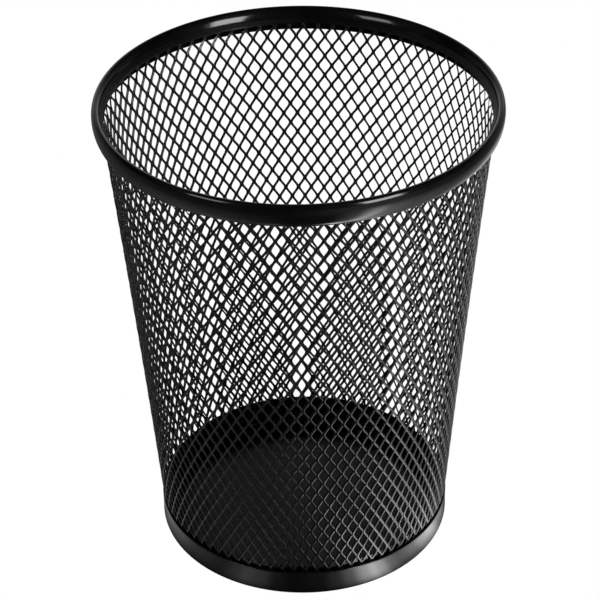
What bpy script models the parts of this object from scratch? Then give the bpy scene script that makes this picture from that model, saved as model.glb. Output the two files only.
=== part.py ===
"""Round expanded-metal wastebasket.

Four steel pieces, all turned about one vertical axis:
  mesh_wall    tapering wall of expanded mesh, a plain sleeve of the mesh's overall thickness
  rim_collar   strip rolled into a hollow oval tube round the mouth, open along a slot underneath
  base_band    smooth ring outside the foot of the mesh, its lower edge turned in to make the foot
  bottom_pan   flat disc with an upstand that clamps the foot of the mesh against the band

Origin: centre of the foot, on the ground. +Z is up. Metres.
A section is a list of (r, z) points: distance from the axis, height above the ground.
"""

import math

import bmesh
import bpy

# ---------------------------------------------------------------- all pieces
SEGMENTS = 72                       # flats round every ring
GAP = 0.0003                        # clearance between neighbouring pieces
MERGE_DISTANCE = 0.00002
SHARP_ANGLE = math.radians(40)
CORNER_OUTSIDE_STEPS = 4            # flats round the rounded corners of band and pan
CORNER_INSIDE_STEPS = 3

# ---------------------------------------------------------------- rim collar
# An upright oval section that leans out with the wall.
RIM_RADIUS = 0.1415                 # axis of the basket to the middle of the section
RIM_Z = 0.3538                      # ground to the middle of the section
RIM_WIDTH = 0.00824                 # across the section
RIM_HEIGHT = 0.01843                # along the section
RIM_LEAN = math.radians(10.1)       # top of the section leans outwards
RIM_SHEET = 0.0008
# The strip's two edges, measured round the oval from its outer side, over the top to the inner.
# The inner leg ends higher than the outer one, and the rest of the oval is the slot.
RIM_OUTER_LEG_END = math.radians(-79)
RIM_INNER_LEG_END = math.radians(203)
RIM_OUTSIDE_STEPS = 16
RIM_INSIDE_STEPS = 12

# ---------------------------------------------------------------- foot
BAND_RADIUS = 0.1106
BAND_HEIGHT = 0.0206
BAND_SHEET = 0.0010
BAND_CORNER = 0.0032                # rounding of the lower edge
BAND_CHAMFER = 0.0004               # on the outside of the top edge
BAND_LIP_RADIUS = 0.1010            # inner edge of the turned-in lip
PAN_SHEET = 0.0008
PAN_CORNER = 0.0028                 # rounding between floor and upstand
PAN_TOP_Z = 0.0246

# ---------------------------------------------------------------- mesh wall
WALL_TOP_RADIUS = 0.1404            # outer radius at the height of the rim section's middle
WALL_LOW_RADIUS = 0.1110            # outer radius where the taper ends, just above the band
WALL_LOW_Z = 0.0233
WALL_HOLLOW = 0.0009                # how far the side dips in from a straight line at mid height
WALL_THICKNESS = 0.0030
WALL_EDGE_THICKNESS = 0.0020        # pressed flat where the collar and the foot grip it
WALL_TOP_Z = 0.3532
WALL_STEPS = 5                      # bands up the taper
FLAT_ABOVE_BAND = 0.0004            # the flattened foot runs this far above the band
TAPER_BELOW_RIM = 0.0030            # full thickness ends this far below the unleaned oval
FLATTENING_HEIGHT = 0.0025          # from full thickness to the flattened upper edge
GRIP_OFFSET = 0.0005                # outwards from the taper where the upper edge starts
TOP_OFFSET = 0.0008                 # outwards from the taper at the top

# ---------------------------------------------------------------- how the foot nests
WALL_FOOT_RADIUS = BAND_RADIUS - BAND_SHEET - GAP
PAN_RADIUS = WALL_FOOT_RADIUS - WALL_EDGE_THICKNESS - GAP
PAN_UNDERSIDE_Z = BAND_SHEET + GAP
PAN_CORNER_Z = PAN_UNDERSIDE_Z + PAN_CORNER
WALL_FOOT_Z = PAN_CORNER_Z + GAP


def clear_scene():
    for obj in list(bpy.data.objects):
        bpy.data.objects.remove(obj, do_unlink=True)
    for mesh in list(bpy.data.meshes):
        bpy.data.meshes.remove(mesh)


def enamel(name, colour, roughness):
    material = bpy.data.materials.new(name)
    material.use_nodes = True
    shader = material.node_tree.nodes["Principled BSDF"]
    shader.inputs["Base Color"].default_value = (*colour, 1.0)
    shader.inputs["Roughness"].default_value = roughness
    shader.inputs["Metallic"].default_value = 0.0
    material.diffuse_color = (*colour, 1.0)
    return material


def arc(centre_r, centre_z, radius, start, end, steps):
    """Points along a circular arc, both ends included, angles in degrees."""
    points = []
    for i in range(steps + 1):
        angle = math.radians(start + (end - start) * i / steps)
        points.append((centre_r + radius * math.cos(angle), centre_z + radius * math.sin(angle)))
    return points


def turned(name, section, material, parent, closed=True):
    """Spin a section once round the Z axis.

    An open section starts and ends on the axis, so the piece has no hole.
    """
    bm = bmesh.new()
    vertices = [bm.verts.new((r, 0.0, z)) for r, z in section]
    following = vertices[1:] + vertices[:1] if closed else vertices[1:]
    edges = [bm.edges.new(pair) for pair in zip(vertices, following)]
    bmesh.ops.spin(
        bm,
        geom=vertices + edges,
        cent=(0.0, 0.0, 0.0),
        axis=(0.0, 0.0, 1.0),
        dvec=(0.0, 0.0, 0.0),
        angle=2.0 * math.pi,
        steps=SEGMENTS,
        use_merge=True,
        use_duplicate=False,
    )
    # A section that touches the axis leaves its points there stacked.
    bmesh.ops.remove_doubles(bm, verts=bm.verts, dist=MERGE_DISTANCE)
    bmesh.ops.recalc_face_normals(bm, faces=bm.faces)

    mesh = bpy.data.meshes.new(name)
    bm.to_mesh(mesh)
    bm.free()
    mesh.materials.append(material)
    mesh.shade_smooth()
    mesh.set_sharp_from_angle(angle=SHARP_ANGLE)
    obj = bpy.data.objects.new(name, mesh)
    bpy.context.scene.collection.objects.link(obj)
    obj.parent = parent


def rim_arc(inset, steps):
    """Points round the leaning oval, shrunk by inset, from the outer leg's end to the inner's."""
    half_width = RIM_WIDTH / 2 - inset
    half_height = RIM_HEIGHT / 2 - inset
    points = []
    for i in range(steps + 1):
        angle = RIM_OUTER_LEG_END + (RIM_INNER_LEG_END - RIM_OUTER_LEG_END) * i / steps
        across = half_width * math.cos(angle)
        along = half_height * math.sin(angle)
        points.append((
            RIM_RADIUS + across * math.cos(RIM_LEAN) + along * math.sin(RIM_LEAN),
            RIM_Z - across * math.sin(RIM_LEAN) + along * math.cos(RIM_LEAN),
        ))
    return points


def rim_section():
    """C shape: round the outside of the oval, then back round the inside."""
    outside = rim_arc(inset=0.0, steps=RIM_OUTSIDE_STEPS)
    inside = rim_arc(inset=RIM_SHEET, steps=RIM_INSIDE_STEPS)
    return outside + inside[::-1]


def wall_radius(z):
    """Outer radius of the taper at height z."""
    t = (RIM_Z - z) / (RIM_Z - WALL_LOW_Z)
    straight = WALL_TOP_RADIUS + (WALL_LOW_RADIUS - WALL_TOP_RADIUS) * t
    return straight - WALL_HOLLOW * 4 * t * (1 - t)


def wall_section():
    """Up the outside from the foot to the collar, then down the inside."""
    taper_top_z = RIM_Z - RIM_HEIGHT / 2 - TAPER_BELOW_RIM
    grip_z = taper_top_z + FLATTENING_HEIGHT
    taper_heights = [
        WALL_LOW_Z + (taper_top_z - WALL_LOW_Z) * i / WALL_STEPS for i in range(WALL_STEPS + 1)
    ]
    # outer radius, height, thickness
    stations = [
        (WALL_FOOT_RADIUS, WALL_FOOT_Z, WALL_EDGE_THICKNESS),
        (WALL_FOOT_RADIUS, BAND_HEIGHT + FLAT_ABOVE_BAND, WALL_EDGE_THICKNESS),
        *[(wall_radius(z), z, WALL_THICKNESS) for z in taper_heights],
        (wall_radius(grip_z) + GRIP_OFFSET, grip_z, WALL_EDGE_THICKNESS),
        (wall_radius(WALL_TOP_Z) + TOP_OFFSET, WALL_TOP_Z, WALL_EDGE_THICKNESS),
    ]
    outside = [(radius, z) for radius, z, _ in stations]
    inside = [(radius - thickness, z) for radius, z, thickness in stations]
    return outside + inside[::-1]


def band_section():
    """Top edge, down the outside, round the lower edge to the lip, and back."""
    corner_r = BAND_RADIUS - BAND_CORNER
    return [
        (BAND_RADIUS - BAND_CHAMFER, BAND_HEIGHT),
        (BAND_RADIUS, BAND_HEIGHT - BAND_CHAMFER),
        *arc(corner_r, BAND_CORNER, BAND_CORNER, 0, -90, CORNER_OUTSIDE_STEPS),
        (BAND_LIP_RADIUS, 0.0),
        (BAND_LIP_RADIUS, BAND_SHEET),
        *arc(corner_r, BAND_CORNER, BAND_CORNER - BAND_SHEET, -90, 0, CORNER_INSIDE_STEPS),
        (BAND_RADIUS - BAND_SHEET, BAND_HEIGHT),
    ]


def pan_section():
    """From the axis: under the floor, round the corner, up the upstand, and back."""
    corner_r = PAN_RADIUS - PAN_CORNER
    return [
        (0.0, PAN_UNDERSIDE_Z),
        *arc(corner_r, PAN_CORNER_Z, PAN_CORNER, -90, 0, CORNER_OUTSIDE_STEPS),
        (PAN_RADIUS, PAN_TOP_Z),
        (PAN_RADIUS - PAN_SHEET, PAN_TOP_Z),
        *arc(corner_r, PAN_CORNER_Z, PAN_CORNER - PAN_SHEET, 0, -90, CORNER_INSIDE_STEPS),
        (0.0, PAN_UNDERSIDE_Z + PAN_SHEET),
    ]


def build():
    clear_scene()
    basket = bpy.data.objects.new("wastebasket", None)
    bpy.context.scene.collection.objects.link(basket)

    mesh_enamel = enamel("enamel_mesh", colour=(0.022, 0.022, 0.022), roughness=0.35)
    rim_enamel = enamel("enamel_rim", colour=(0.016, 0.016, 0.017), roughness=0.22)
    band_enamel = enamel("enamel_band", colour=(0.018, 0.018, 0.018), roughness=0.25)
    pan_enamel = enamel("enamel_pan", colour=(0.020, 0.020, 0.020), roughness=0.30)

    turned("mesh_wall", wall_section(), mesh_enamel, basket)
    turned("rim_collar", rim_section(), rim_enamel, basket)
    turned("base_band", band_section(), band_enamel, basket)
    turned("bottom_pan", pan_section(), pan_enamel, basket, closed=False)


build()
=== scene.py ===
"""Looks for the round expanded-metal wastebasket.

The basket stands upright round the Z axis, with its foot at z = 0, and the camera looks from -Y,
the front. Each visible piece is rebuilt in the space of its CAD node: the expanded mesh strand
by strand, and the rim collar, base band and bottom pan as turned sheet with rolled edges.
"""
import math

import bmesh
import bpy
import numpy as np
from mathutils import Matrix, Vector


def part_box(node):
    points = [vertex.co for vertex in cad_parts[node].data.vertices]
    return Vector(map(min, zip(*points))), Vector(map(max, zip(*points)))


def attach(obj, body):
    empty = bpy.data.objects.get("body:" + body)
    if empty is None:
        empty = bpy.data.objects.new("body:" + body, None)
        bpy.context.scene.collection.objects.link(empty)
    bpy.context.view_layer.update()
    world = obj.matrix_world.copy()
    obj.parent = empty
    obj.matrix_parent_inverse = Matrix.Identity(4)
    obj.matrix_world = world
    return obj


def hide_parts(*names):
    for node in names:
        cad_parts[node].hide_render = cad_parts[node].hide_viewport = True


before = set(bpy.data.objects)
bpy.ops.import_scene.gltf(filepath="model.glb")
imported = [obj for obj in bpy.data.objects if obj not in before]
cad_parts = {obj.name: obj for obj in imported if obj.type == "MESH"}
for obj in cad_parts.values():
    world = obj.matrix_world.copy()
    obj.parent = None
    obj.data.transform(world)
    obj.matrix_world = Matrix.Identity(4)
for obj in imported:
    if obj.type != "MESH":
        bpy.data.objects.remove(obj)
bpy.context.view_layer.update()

RIM_LOW, RIM_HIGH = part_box("rim_collar")
_, BAND_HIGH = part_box("base_band")
PAN_LOW, PAN_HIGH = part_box("bottom_pan")

RIM_MIDDLE_Z = (RIM_LOW.z + RIM_HIGH.z) / 2
BAND_SHEET = 0.0010

# ------------------------------------------------------------------ shape of the wall
WALL_TOP_RADIUS = 0.1404           # outer envelope at the middle of the rim section
WALL_LOW_RADIUS = 0.1110           # outer envelope just above the band
WALL_LOW_Z = BAND_HIGH.z + 0.0027
WALL_HOLLOW = 0.0009               # how far the profile sinks in at half height
HALF_DEPTH = 0.0015                # wall surface to the middle of the mesh
FOOT_GAP = 0.0003                  # between the band and the mesh's foot
FOOT_HALF_DEPTH = 0.0010           # the same as HALF_DEPTH, at the flattened foot
TOP_SHIFT = 0.0009                 # how far the mesh moves outwards in the collar

# where the mesh changes, from its free end to its gripped end
FOOT_TUCK = (0.0042, -0.0006)      # radius, heights above the band's top
TOP_GRIP = (-0.0045, 0.0010)       # radius, heights above the collar's bottom
FOOT_PRESS = (0.0070, -0.0010)     # flattening, heights above the band's top
TOP_PRESS = (-0.0060, 0.0010)      # flattening, heights above the collar's bottom

# ------------------------------------------------------------------ lattice of the wall
COLUMNS = 79                       # diamonds round the basket
STRANDS = 2 * COLUMNS
ROW_PITCH = 0.01575                # height of one full diamond
ROW_START = 0.00186                # height of the first row of bonds
COLUMN_START = 0.076               # turns the whole lattice, in diamonds
FRONT_TURN = 0.38                  # shift of the front wall's lattice against the back wall's,
FRONT_RISE = -0.17                 # in diamonds round and in diamonds up
FRONT_BLEND = (0.3, 0.7)           # where the shift comes in, from 0 at the back to 1 in front
FIRST_ROW = 1
LAST_ROW = 45
BOND = 0.14                        # length of a bond, in half rows
TURN = 0.22                        # share of a strand's run taken by the curve at each end
RISE = 0.178                       # share of its swing reached there

STRAND_WIDTH = 0.00220             # enamel included
STRAND_THICKNESS = 0.00128         # enamel included
STRAND_STEP = 0.00090              # between two strands' middles where they are joined
STRAND_TILT = math.radians(20)     # turn about the vertical, right edge outwards
GRIPPED_TILT = 0.30                # share of the tilt left where the mesh is gripped
GRIPPED_THICKNESS = 0.75           # share of the thickness left there
NECK = 1.00                        # share of the thickness left where two strands join

# corners of a strand's section: (across to the right, through inwards), in half sizes
SECTION = ((-1, -0.45), (0, -1), (1, -0.45), (1, 0.45), (0, 1), (-1, 0.45))
LEFT_CORNERS = (0, 5)              # outer, inner
RIGHT_CORNERS = (2, 3)


def smooth(start, end, value):
    t = np.clip((value - start) / (end - start), 0.0, 1.0)
    return t * t * (3 - 2 * t)


def wall_outer(z):
    depth = (RIM_MIDDLE_Z - z) / (RIM_MIDDLE_Z - WALL_LOW_Z)
    cone = WALL_TOP_RADIUS + (WALL_LOW_RADIUS - WALL_TOP_RADIUS) * depth
    return cone - WALL_HOLLOW * 4 * depth * (1 - depth)


def wall_middle(z):
    """Radius of the mesh's middle surface at height z, with its tucked foot and shifted top."""
    foot_radius = BAND_HIGH.x - BAND_SHEET - FOOT_GAP - FOOT_HALF_DEPTH
    tuck = smooth(BAND_HIGH.z + FOOT_TUCK[0], BAND_HIGH.z + FOOT_TUCK[1], z)
    grip = smooth(RIM_LOW.z + TOP_GRIP[0], RIM_LOW.z + TOP_GRIP[1], z)
    return (wall_outer(z) - HALF_DEPTH) * (1 - tuck) + foot_radius * tuck + grip * TOP_SHIFT


def looseness(z):
    """1 where the mesh stands free, 0 where the collar and the band grip it."""
    return (smooth(BAND_HIGH.z + FOOT_PRESS[1], BAND_HIGH.z + FOOT_PRESS[0], z)
            * smooth(RIM_LOW.z + TOP_PRESS[1], RIM_LOW.z + TOP_PRESS[0], z))


# ------------------------------------------------------------------ expanded mesh
def strand_stations():
    """Angle, height, swing and bond flag of each station, in arrays of strand by station.

    Swing is 0 at the left neighbour and 1 at the right one, seen from outside. Each row has four
    stations: the two ends of a bond, then the two ends of the straight run above it.
    """
    rows = np.arange(FIRST_ROW, LAST_ROW + 1)
    half_bond = BOND / 2
    turn = TURN * (1 - 2 * half_bond)
    offsets = np.array([-half_bond, half_bond, half_bond + turn, 1 - half_bond - turn])
    # the last row ends with its bond
    half_rows = (rows[:, None] + offsets[None, :]).ravel()[:-2]
    row = np.repeat(rows, 4)[:-2][None, :]
    part = np.tile(np.arange(4), len(rows))[:-2][None, :]
    strand = np.arange(STRANDS)[:, None]

    swing = np.array([0, 0, RISE, 1 - RISE])[part]
    swing = np.where((strand + row) % 2 == 0, swing, 1 - swing)
    z = ROW_START + half_rows[None, :] * ROW_PITCH / 2
    angle = math.pi / 2 + 2 * math.pi * (COLUMN_START + (strand + swing - 1) / 2) / COLUMNS
    front = smooth(*FRONT_BLEND, 0.5 - 0.5 * np.sin(angle))
    angle = angle + front * FRONT_TURN * 2 * math.pi / COLUMNS
    z = z + front * FRONT_RISE * ROW_PITCH
    return angle, z, swing, part < 2


def unit(vectors):
    return vectors / np.linalg.norm(vectors, axis=-1, keepdims=True)


def strand_points(angle, z, swing, at_left, at_right):
    """Section corners of each strand, in an array of strand, station, corner and xyz."""
    radius = wall_middle(z)
    slope = (wall_middle(z + 0.0005) - wall_middle(z - 0.0005)) / 0.001
    loose = looseness(z)
    tilt = STRAND_TILT * (GRIPPED_TILT + (1 - GRIPPED_TILT) * loose)
    thickness = STRAND_THICKNESS * (GRIPPED_THICKNESS + (1 - GRIPPED_THICKNESS) * loose)
    side = 1 - 2 * swing               # 1 at the left neighbour, -1 at the right one
    zero = np.zeros_like(z)

    # the strand's middle line in (along, up, out), and its direction at each station
    line = np.stack([swing * np.pi * radius / COLUMNS + side * np.cos(tilt) * STRAND_STEP / 2,
                     z * np.sqrt(1 + slope ** 2),
                     side * np.sin(tilt) * STRAND_STEP / 2], -1)
    ahead = unit(np.diff(line, axis=1))
    bisector = unit(ahead[:, 1:] + ahead[:, :-1])
    way = unit(np.concatenate([ahead[:, :1], bisector, ahead[:, -1:]], 1))
    across_way = np.stack([np.cos(tilt), zero, np.sin(tilt)], -1)
    through_way = unit(np.cross(way, across_way))
    through_bond = np.stack([np.sin(tilt), zero, -np.cos(tilt)], -1)

    sin_a, cos_a = np.sin(angle), np.cos(angle)
    lean = np.arctan(slope)
    along = np.stack([-sin_a, cos_a, zero], -1)
    up = np.stack([np.sin(lean) * cos_a, np.sin(lean) * sin_a, np.cos(lean)], -1)
    out = np.stack([np.cos(lean) * cos_a, np.cos(lean) * sin_a, -np.sin(lean)], -1)

    def to_xyz(local):
        return local[..., 0:1] * along + local[..., 1:2] * up + local[..., 2:3] * out

    base = np.stack([radius * cos_a, radius * sin_a, z], -1)
    centre = base + to_xyz(across_way) * (side * STRAND_STEP / 2)[..., None]
    corners = []
    for i, (across, through) in enumerate(SECTION):
        direction = through_way
        reach = across * STRAND_WIDTH / 2 + zero
        depth = through * thickness / 2
        if i in LEFT_CORNERS + RIGHT_CORNERS:
            # at a bond the section is cut on the plane between the two strands
            joined = at_right if i in RIGHT_CORNERS else at_left
            direction = np.where(joined[..., None], through_bond, through_way)
            reach = np.where(joined, math.copysign(STRAND_STEP / 2, across), reach)
            depth = np.where(joined, math.copysign(NECK, through) * thickness / 2, depth)
        corners.append(centre + to_xyz(across_way) * reach[..., None]
                       + to_xyz(direction) * depth[..., None])
    return np.stack(corners, 2)


def strand_faces(at_left, at_right):
    """Side quads and end caps of the strands, open where two strands are joined."""
    count = len(SECTION)
    index = np.arange(at_left.size * count).reshape(*at_left.shape, count)
    # a strand's right edge and the next strand's left edge share their points at a bond
    strand, station = np.nonzero(at_right)
    following = (strand + 1) % STRANDS
    for left, right in zip(LEFT_CORNERS, RIGHT_CORNERS):
        index[strand, station, right] = index[following, station, left]
    quads = []
    for i in range(count):
        j = (i + 1) % count
        quad = np.stack([index[:, :-1, i], index[:, :-1, j], index[:, 1:, j], index[:, 1:, i]], -1)
        keep = np.ones(quad.shape[:2], bool)
        for edge, joined in ((LEFT_CORNERS, at_left), (RIGHT_CORNERS, at_right)):
            if i in edge and j in edge:
                keep &= ~(joined[:, :-1] & joined[:, 1:])
        quads.append(quad[keep])
    return np.concatenate(quads), np.concatenate([index[:, 0, ::-1], index[:, -1, :]])


def expanded_mesh():
    """The wall as one closed body of zigzag strands, two to each diamond, joined at each swing."""
    angle, z, swing, in_bond = strand_stations()
    at_left = in_bond & (swing < 0.5)
    at_right = in_bond & (swing > 0.5)
    points = strand_points(angle, z, swing, at_left, at_right)
    quads, caps = strand_faces(at_left, at_right)
    used, loops = np.unique(np.concatenate([quads.ravel(), caps.ravel()]), return_inverse=True)
    verts = points.reshape(-1, 3)[used]
    starts = np.concatenate([np.arange(len(quads)) * 4,
                             quads.size + np.arange(len(caps)) * len(SECTION)])
    mesh = bpy.data.meshes.new("mesh_wall_strands")
    mesh.vertices.add(len(verts))
    mesh.vertices.foreach_set("co", verts.astype(np.float32).ravel())
    mesh.loops.add(len(loops))
    mesh.loops.foreach_set("vertex_index", loops.ravel().astype(np.int32))
    mesh.polygons.add(len(starts))
    mesh.polygons.foreach_set("loop_start", starts.astype(np.int32))
    mesh.update(calc_edges=True)
    mesh.validate()
    mesh.shade_smooth()
    return mesh


# ------------------------------------------------------------------ turned sheet
def turned(name, section, segments, closed=True):
    """A ring, or a disc when the section starts and ends on the axis, spun from (r, z) points."""
    mesh = bpy.data.meshes.new(name)
    bm = bmesh.new()
    verts = [bm.verts.new((r, 0.0, z)) for r, z in section]
    count = len(verts)
    edges = [bm.edges.new((verts[i], verts[(i + 1) % count]))
             for i in range(count if closed else count - 1)]
    bmesh.ops.spin(bm, geom=verts + edges, cent=(0, 0, 0), axis=(0, 0, 1), dvec=(0, 0, 0),
                   angle=2 * math.pi, steps=segments, use_merge=True, use_duplicate=False)
    bmesh.ops.remove_doubles(bm, verts=bm.verts, dist=0.00001)
    bmesh.ops.recalc_face_normals(bm, faces=bm.faces)
    bm.to_mesh(mesh)
    bm.free()
    mesh.shade_smooth()
    mesh.set_sharp_from_angle(angle=math.radians(50))
    return mesh


def arc(centre_r, centre_z, radius, start, end, steps):
    """Points on a circle from the start angle to the end angle, in degrees."""
    angles = [math.radians(start + (end - start) * i / steps) for i in range(steps + 1)]
    return [(centre_r + radius * math.cos(a), centre_z + radius * math.sin(a)) for a in angles]


def rim_section():
    """Oval rolled from sheet, its top leaning out, open underneath where the mesh goes in."""
    lean = math.radians(10.1)
    half_width, half_height = 0.00824 / 2, 0.01843 / 2
    sheet = 0.0008
    start, end = math.radians(-79), math.radians(203)
    hem = math.radians(1.6)            # how far the folded edges stand past the ends
    outer_steps, inner_steps = 56, 40
    reach = math.hypot(half_width * math.cos(lean), half_height * math.sin(lean))
    centre_r = RIM_HIGH.x - reach

    def at(angle, inset):
        x = (half_width - inset) * math.cos(angle)
        y = (half_height - inset) * math.sin(angle)
        return (centre_r + x * math.cos(lean) + y * math.sin(lean),
                RIM_MIDDLE_Z - x * math.sin(lean) + y * math.cos(lean))

    def side(steps, inset):
        return [at(start + (end - start) * i / steps, inset) for i in range(steps + 1)]

    return (side(outer_steps, 0.0) + [at(end + hem, sheet / 2)]
            + side(inner_steps, sheet)[::-1] + [at(start - hem, sheet / 2)])


def band_section():
    """Upright band with a rounded top edge, turned in at the foot to a flat lip."""
    radius, top = BAND_HIGH.x, BAND_HIGH.z
    edge = 0.0009                      # radius of the top edge
    corner = 0.0032                    # outer radius of the bottom corner
    hollow = 0.00012                   # how far the side sinks in at half height
    lip_r = 0.1010 + 0.0004            # centre of the lip's rounded edge
    section = arc(radius - edge, top - edge, edge, 95, 0, 8)
    for i in range(1, 10):
        share = i / 10
        section.append((radius - hollow * math.sin(math.pi * share),
                        top - edge + (corner - top + edge) * share))
    section += arc(radius - corner, corner, corner, 0, -90, 14)
    section += [(lip_r + 0.0011, 0.0), (lip_r, 0.0)]
    section += arc(lip_r, BAND_SHEET / 2, BAND_SHEET / 2, -90, -270, 6)[1:]
    section += arc(radius - corner, corner, corner - BAND_SHEET, -90, 0, 10)
    section += [(radius - BAND_SHEET, top - 0.0004)]
    return section


def pan_section():
    """Flat dish with a rounded corner and a rounded top edge, from the axis out and back."""
    radius, low, top = PAN_HIGH.x, PAN_LOW.z, PAN_HIGH.z
    sheet, corner = 0.0008, 0.0028
    shares = (0.2, 0.45, 0.7, 0.9)     # floor points, as shares of the radius
    under = [(0.0, low)] + [(radius * share, low) for share in shares]
    under += arc(radius - corner, low + corner, corner, -90, 0, 10)
    under += [(radius, top - 0.0004)]
    under += arc(radius - sheet / 2, top - sheet / 2, sheet / 2, 0, 180, 6)
    over = arc(radius - corner, low + corner, corner - sheet, 0, -90, 10)
    over += [(radius * share, low + sheet) for share in shares[::-1]] + [(0.0, low + sheet)]
    return under + over


# ------------------------------------------------------------------ materials
def add_node(tree, kind, inputs, **settings):
    """A shader node. Each input is given either a value or the socket that feeds it."""
    node = tree.nodes.new("ShaderNode" + kind)
    for key, value in settings.items():
        setattr(node, key, value)
    for key, value in inputs.items():
        if isinstance(value, bpy.types.NodeSocket):
            tree.links.new(value, node.inputs[key])
        else:
            node.inputs[key].default_value = value
    return node


def enamel(name, dark, light, roughness, grain, peel):
    """Black stoved enamel: faint mottling, wandering roughness, and orange peel in the bump.

    Grain is the scale of the orange peel and peel is its strength.
    """
    mat = bpy.data.materials.new(name)
    mat.use_nodes = True
    tree = mat.node_tree
    bsdf = tree.nodes["Principled BSDF"]
    coords = add_node(tree, "TexCoord", {}).outputs["Object"]

    def noise(scale, detail):
        inputs = {"Scale": scale, "Detail": detail, "Vector": coords}
        return add_node(tree, "TexNoise", inputs).outputs["Fac"]

    ramp = add_node(tree, "ValToRGB", {"Fac": noise(scale=55.0, detail=4.0)})
    for element, position, colour in zip(ramp.color_ramp.elements, (0.3, 0.7), (dark, light)):
        element.position = position
        element.color = (*colour, 1)
    rough = add_node(tree, "MapRange", {
        "Value": noise(scale=120.0, detail=3.0), "From Min": 0.3, "From Max": 0.7,
        "To Min": roughness[0], "To Max": roughness[1]})
    bump = add_node(tree, "Bump", {
        "Height": noise(scale=grain, detail=2.0), "Strength": peel, "Distance": 0.0002})
    tree.links.new(ramp.outputs["Color"], bsdf.inputs["Base Color"])
    tree.links.new(rough.outputs["Result"], bsdf.inputs["Roughness"])
    tree.links.new(bump.outputs["Normal"], bsdf.inputs["Normal"])
    bsdf.inputs["IOR"].default_value = 1.5
    bsdf.inputs["Coat Roughness"].default_value = 0.12
    mat.diffuse_color = (*light, 1)
    return mat


mesh_enamel = enamel("mesh_powder_coat", dark=(0.004, 0.004, 0.004), light=(0.009, 0.009, 0.0085),
                     roughness=(0.14, 0.22), grain=1400.0, peel=0.15)
rim_enamel = enamel("rim_gloss_enamel", dark=(0.003, 0.003, 0.003), light=(0.006, 0.006, 0.006),
                    roughness=(0.09, 0.13), grain=900.0, peel=0.03)
band_enamel = enamel("band_gloss_enamel", dark=(0.004, 0.004, 0.004), light=(0.008, 0.008, 0.0075),
                     roughness=(0.10, 0.16), grain=900.0, peel=0.05)
pan_enamel = enamel("pan_satin_enamel", dark=(0.005, 0.005, 0.005), light=(0.010, 0.010, 0.010),
                    roughness=(0.20, 0.30), grain=700.0, peel=0.10)


# ------------------------------------------------------------------ pieces
def add_piece(cad_piece, mesh, material):
    mesh.materials.append(material)
    obj = bpy.data.objects.new("wastebasket_" + cad_piece, mesh)
    bpy.context.scene.collection.objects.link(obj)
    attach(obj, "root")
    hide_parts(cad_piece)
    return obj


add_piece("mesh_wall", expanded_mesh(), mesh_enamel)
add_piece("rim_collar", turned("rim_turned", rim_section(), 288), rim_enamel)
add_piece("base_band", turned("band_turned", band_section(), 288), band_enamel)
pan = add_piece("bottom_pan",
                turned("pan_turned", pan_section(), 192, closed=False), pan_enamel)

# ------------------------------------------------------------------ stage
# light round the basket: (azimuth in degrees from +X towards +Y, brightness). The FLOOR tables are
# painted light and painted shadow in the floor's own glow; the SKY tables are the sky's light
# painted light on the floor round the foot: its bright sectors near 290 to 310 and 330 degrees
# show in the band as painted reflections
FLOOR_FOOT = (
    (0, 0.30), (45, 0.40), (90, 0.10), (150, 0.30), (192, 0.50), (203, 0.42), (216, 0.22),
    (231, 0.15), (238, 0.36), (243, 0.66), (250, 0.46), (257, 0.09), (264, 0.02), (277, 0.05),
    (284, 0.32), (290, 1.25), (297, 5.00), (301, 7.20), (305, 5.00), (310, 1.80), (315, 1.10),
    (324, 1.60), (330, 2.90), (337, 3.40), (347, 1.10))
FLOOR_NEAR = (
    (0, 0.35), (22, 0.50), (45, 1.00), (67, 0.50), (90, 0.10), (135, 0.04), (175, 0.14),
    (205, 0.28), (228, 0.22), (250, 0.10), (262, 0.02), (287, 0.03), (299, 0.60), (310, 4.20),
    (320, 1.30), (338, 0.60))
FLOOR_FAR = (
    (0, 0.08), (90, 0.20), (180, 0.03), (225, 0.08), (265, 0.02), (311, 0.40), (340, 0.12))
SKY_LOW = (
    (0, 0.01), (45, 0.18), (70, 0.80), (90, 0.95), (110, 0.80), (135, 0.15), (178, 0.01),
    (225, 0.06), (265, 0.01), (292, 0.04), (311, 0.25), (330, 0.06))
SKY_MIDDLE = (
    (0, 0.01), (45, 0.03), (90, 0.42), (135, 0.04), (178, 0.01), (223, 0.10), (260, 0.01),
    (290, 0.04), (311, 0.22), (335, 0.05))
SKY_HIGH = ((0, 0.01), (90, 0.02), (178, 0.05), (225, 0.05), (270, 0.01), (311, 0.05))

WHITE = (1, 1, 1, 1)
# near black: on the floor it is the painted shadow round the basket's foot, in the sky the unlit
# dark overhead
DARK = (0.02, 0.02, 0.02, 1)


def around(tree, vector, values):
    """Grey brightness that runs smoothly round the vertical axis, from one of the tables."""
    gradient = add_node(tree, "TexGradient", {"Vector": vector}, gradient_type="RADIAL")
    ramp = add_node(tree, "ValToRGB", {"Fac": gradient.outputs["Fac"]})
    ramp.color_ramp.interpolation = "EASE"
    stops = sorted(((azimuth / 360 + 0.5) % 1.0, value) for azimuth, value in values)
    seam = (stops[0][1] + stops[-1][1]) / 2
    stops = [(0.0, seam)] + [stop for stop in stops if 0.0 < stop[0] < 1.0] + [(1.0, seam)]
    elements = ramp.color_ramp.elements
    while len(elements) < len(stops):
        elements.new(0.5)
    for element, (position, _) in zip(elements, stops):
        element.position = position
    for element, (_, value) in zip(elements, stops):
        element.color = (value, value, value, 1)
    return ramp.outputs["Color"]


def blend(tree, first, second, amount, low_at, high_at):
    """From the first colour to the second as the amount runs from low_at to high_at."""
    span = add_node(tree, "MapRange", {"Value": amount, "From Min": low_at, "From Max": high_at},
                    interpolation_type="SMOOTHSTEP")
    # inputs of a colour mix: 0 is the factor, 6 and 7 are the colours
    mix = add_node(tree, "Mix", {0: span.outputs["Result"], 6: first, 7: second},
                   data_type="RGBA")
    return mix.outputs[2]


def plain_colour(tree, colour):
    socket = add_node(tree, "RGB", {}).outputs["Color"]
    socket.default_value = colour
    return socket


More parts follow.
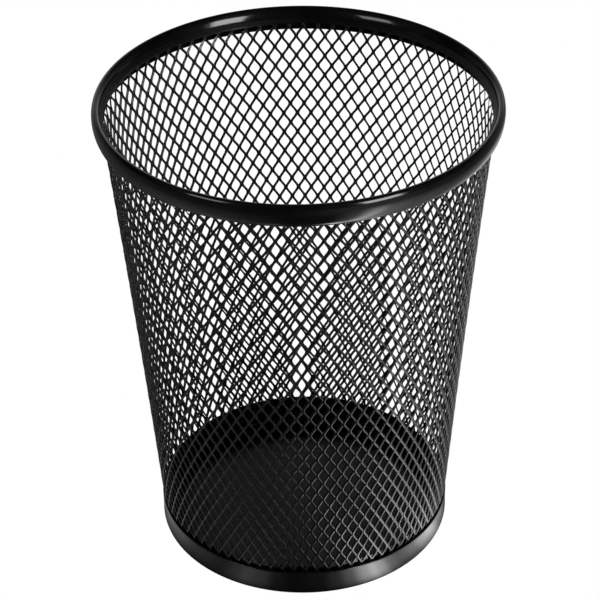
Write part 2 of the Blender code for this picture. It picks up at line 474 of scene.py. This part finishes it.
def white_to_camera(tree, lit, white_kind, output):
    """Shows the camera plain white, and everything else the lit shader."""
    white = add_node(tree, white_kind, {"Color": WHITE})
    path = add_node(tree, "LightPath", {})
    mix = add_node(tree, "MixShader", {
        "Fac": path.outputs["Is Camera Ray"], 1: lit.outputs[0], 2: white.outputs[0]})
    tree.links.new(mix.outputs["Shader"], tree.nodes[output].inputs["Surface"])


def floor_material():
    mat = bpy.data.materials.new("floor_white_painted_light")
    mat.use_nodes = True
    tree = mat.node_tree
    tree.nodes.remove(tree.nodes["Principled BSDF"])
    coords = add_node(tree, "TexCoord", {}).outputs["Object"]
    # to every ray but the camera's the floor glows with painted light: bright patches where the
    # softboxes would light it, which the enamel reflects, and painted shade where the basket would
    # shade it
    distance = add_node(tree, "VectorMath", {0: coords}, operation="LENGTH").outputs["Value"]
    near, far, foot = (around(tree, coords, table)
                       for table in (FLOOR_NEAR, FLOOR_FAR, FLOOR_FOOT))
    dark = plain_colour(tree, DARK)
    lit = add_node(tree, "Emission", {})
    # painted shadow: dark on the floor just round the band, rising into the foot table's painted
    # light
    shade = blend(tree, dark, foot, distance, BAND_HIGH.x - 0.002, BAND_HIGH.x + 0.012)
    shade = blend(tree, shade, near, distance, 0.15, 0.20)
    shade = blend(tree, shade, far, distance, 0.35, 0.90)
    tree.links.new(shade, lit.inputs["Color"])
    white_to_camera(tree, lit, "Emission", "Material Output")
    return mat


def stage_floor():
    """A floor just under the basket: plain white to the camera, and to every other ray a glow of
    painted light with a painted shadow round the foot.
    """
    mesh = bpy.data.meshes.new("studio_floor")
    bm = bmesh.new()
    bmesh.ops.create_grid(bm, x_segments=8, y_segments=8, size=6.0)
    bm.to_mesh(mesh)
    bm.free()
    mesh.materials.append(floor_material())
    obj = bpy.data.objects.new("studio_floor", mesh)
    obj.location = (0, 0, -0.0005)
    bpy.context.scene.collection.objects.link(obj)


def studio_world():
    """A sky in three rings of light, one above the other, that darkens overhead."""
    world = bpy.data.worlds.new("studio")
    bpy.context.scene.world = world
    world.use_nodes = True
    tree = world.node_tree
    background = tree.nodes["Background"]
    direction = add_node(tree, "TexCoord", {}).outputs["Generated"]
    height = add_node(tree, "SeparateXYZ", {"Vector": direction}).outputs["Z"]
    overhead = plain_colour(tree, DARK)
    low = around(tree, direction, SKY_LOW)
    middle = around(tree, direction, SKY_MIDDLE)
    sky = blend(tree, low, middle, height, 0.17, 0.50)
    sky = blend(tree, sky, around(tree, direction, SKY_HIGH), height, 0.55, 0.82)
    sky = blend(tree, sky, overhead, height, 0.86, 0.99)
    tree.links.new(sky, background.inputs["Color"])
    background.inputs["Strength"].default_value = 1.0
    white_to_camera(tree, background, "Background", "World Output")


def softbox(name, azimuth, elevation, distance, width, height, radiance):
    """A rectangular light that faces the basket from the given direction, in degrees."""
    az, el = math.radians(azimuth), math.radians(elevation)
    target = Vector((0, 0, 0.22))
    outwards = Vector((math.cos(az) * math.cos(el), math.sin(az) * math.cos(el), math.sin(el)))
    position = target + distance * outwards
    data = bpy.data.lights.new(name, "AREA")
    data.shape = "RECTANGLE"
    data.size = width
    data.size_y = height
    data.energy = radiance * math.pi * width * height
    obj = bpy.data.objects.new(name, data)
    bpy.context.scene.collection.objects.link(obj)
    facing = (target - position).to_track_quat("-Z", "Y").to_matrix().to_4x4()
    obj.matrix_world = Matrix.Translation(position) @ facing
    return obj


def add_softboxes():
    # the softboxes leave out the pan, whose floor would mirror them at a grazing angle
    off_the_pan = bpy.data.collections.new("off_the_pan")
    off_the_pan.objects.link(pan)
    off_the_pan.collection_objects[0].light_linking.link_state = "EXCLUDE"
    key = softbox("key_softbox", azimuth=312, elevation=20, distance=1.8,
                  width=0.62, height=0.80, radiance=9.0)
    fill = softbox("fill_softbox", azimuth=221, elevation=28, distance=1.8,
                   width=0.55, height=0.50, radiance=3.6)
    for lamp in (key, fill):
        lamp.light_linking.receiver_collection = off_the_pan


def add_camera():
    position = (0.0, -1.4467, 1.16538)
    yaw, pitch, roll = -0.0007, 0.5923, -0.0160    # radians: from +Y towards +X, down, roll
    look = Vector((math.sin(yaw) * math.cos(pitch), math.cos(yaw) * math.cos(pitch),
                   -math.sin(pitch)))
    level = look.cross(Vector((0, 0, 1))).normalized()
    above = level.cross(look)
    right = math.cos(roll) * level + math.sin(roll) * above
    up = -math.sin(roll) * level + math.cos(roll) * above
    data = bpy.data.cameras.new("camera")
    data.lens = 140.68
    data.sensor_width = 36.0
    data.clip_start = 0.05
    data.clip_end = 50
    camera = bpy.data.objects.new("camera", data)
    bpy.context.scene.collection.objects.link(camera)
    turn = Matrix((right, up, -look)).transposed().to_4x4()
    camera.matrix_world = Matrix.Translation(position) @ turn
    bpy.context.scene.camera = camera


stage_floor()
studio_world()
add_softboxes()
add_camera()
bpy.context.scene.view_settings.view_transform = "Standard"
bpy.context.scene.view_settings.look = "None"
